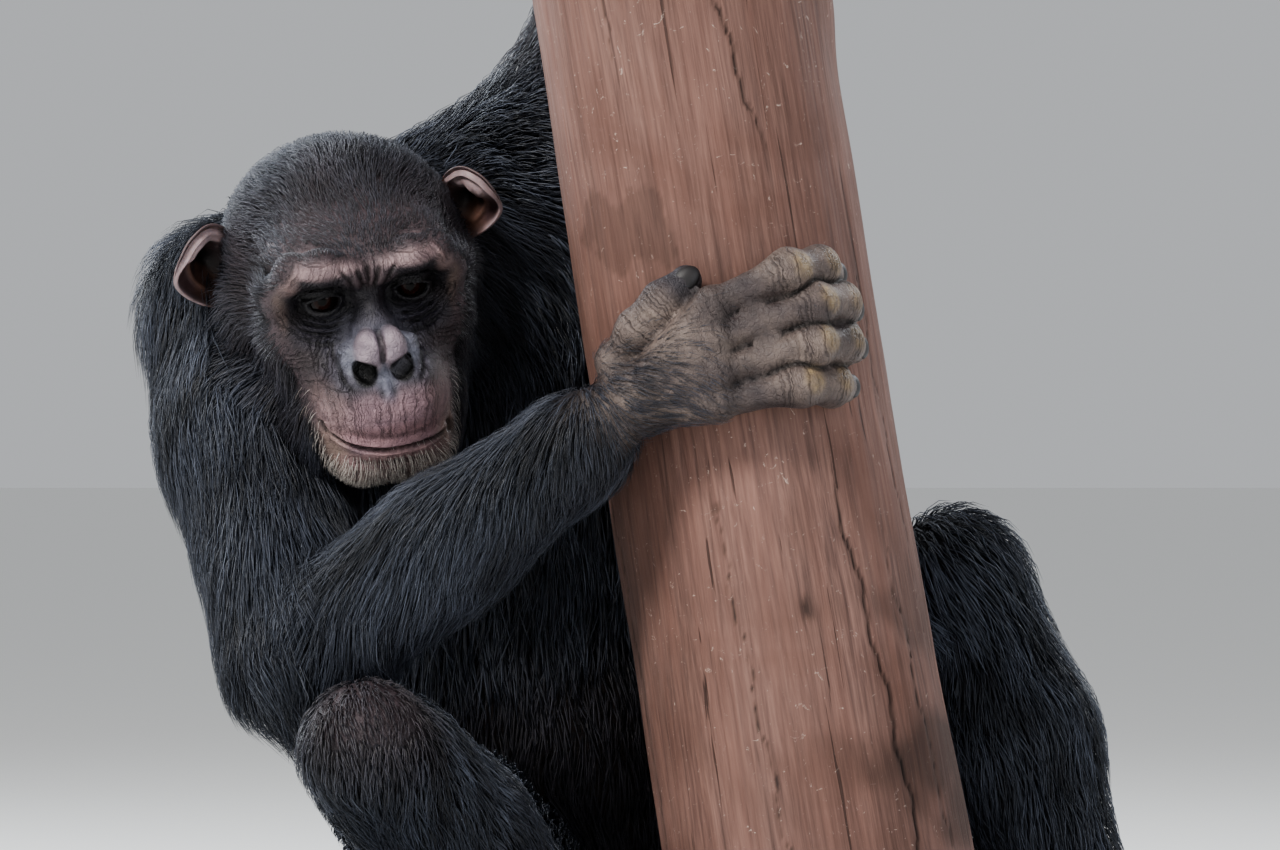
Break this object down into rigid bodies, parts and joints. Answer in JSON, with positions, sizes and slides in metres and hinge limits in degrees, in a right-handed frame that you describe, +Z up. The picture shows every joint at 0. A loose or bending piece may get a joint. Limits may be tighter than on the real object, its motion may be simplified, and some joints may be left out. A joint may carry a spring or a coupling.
{
  "type": "chimpanzee model",
  "caption": "Life-size still model of a chimpanzee sitting on a plain display base, one hand round a leaning barkless trunk, the other arm raised behind it.",
  "frame": {"origin": "centre of the display base's underside, which the model stands on", "axes": "+Z up; the animal faces -Y; its right side is at -X"},
  "size_m": [0.76, 0.62, 1.0112],
  "materials": {
    "coat": "black, slightly glossy animal hair over dark skin",
    "ear_skin": "bare pinkish-brown skin",
    "hand_skin": "bare grey-brown creased skin",
    "eye": "wet, dark brown eye",
    "trunk_wood": "weathered barkless wood with drying cracks",
    "stand_paint": "satin dark grey paint",
    "rod_steel": "brushed"
  },
  "bodies": {
    "root": {"belly": "coat", "big_toe_left": "hand_skin", "big_toe_right": "hand_skin", "chest": "coat", "ear_left": "ear_skin", "ear_right": "ear_skin", "eye_left": "eye", "eye_right": "eye", "foot_left": "hand_skin", "foot_right": "hand_skin", "forearm_left": "coat", "forearm_right": "coat", "hand_left": "hand_skin", "hand_right": "hand_skin", "head": "coat", "index_finger_left": "hand_skin", "index_finger_right": "hand_skin", "little_finger_left": "hand_skin", "little_finger_right": "hand_skin", "middle_finger_left": "hand_skin", "middle_finger_right": "hand_skin", "neck": "coat", "pelvis": "coat", "perch_trunk": "trunk_wood", "ring_finger_left": "hand_skin", "ring_finger_right": "hand_skin", "shin_left": "coat", "shin_right": "coat", "stand_base": "stand_paint", "stand_rod_1": "rod_steel", "stand_rod_2": "rod_steel", "thigh_left": "coat", "thigh_right": "coat", "thumb_left": "hand_skin", "thumb_right": "hand_skin", "toe_1_left": "hand_skin", "toe_1_right": "hand_skin", "toe_2_left": "hand_skin", "toe_2_right": "hand_skin", "toe_3_left": "hand_skin", "toe_3_right": "hand_skin", "toe_4_left": "hand_skin", "toe_4_right": "hand_skin", "upper_arm_left": "coat", "upper_arm_right": "coat"}
  },
  "joints": []
}
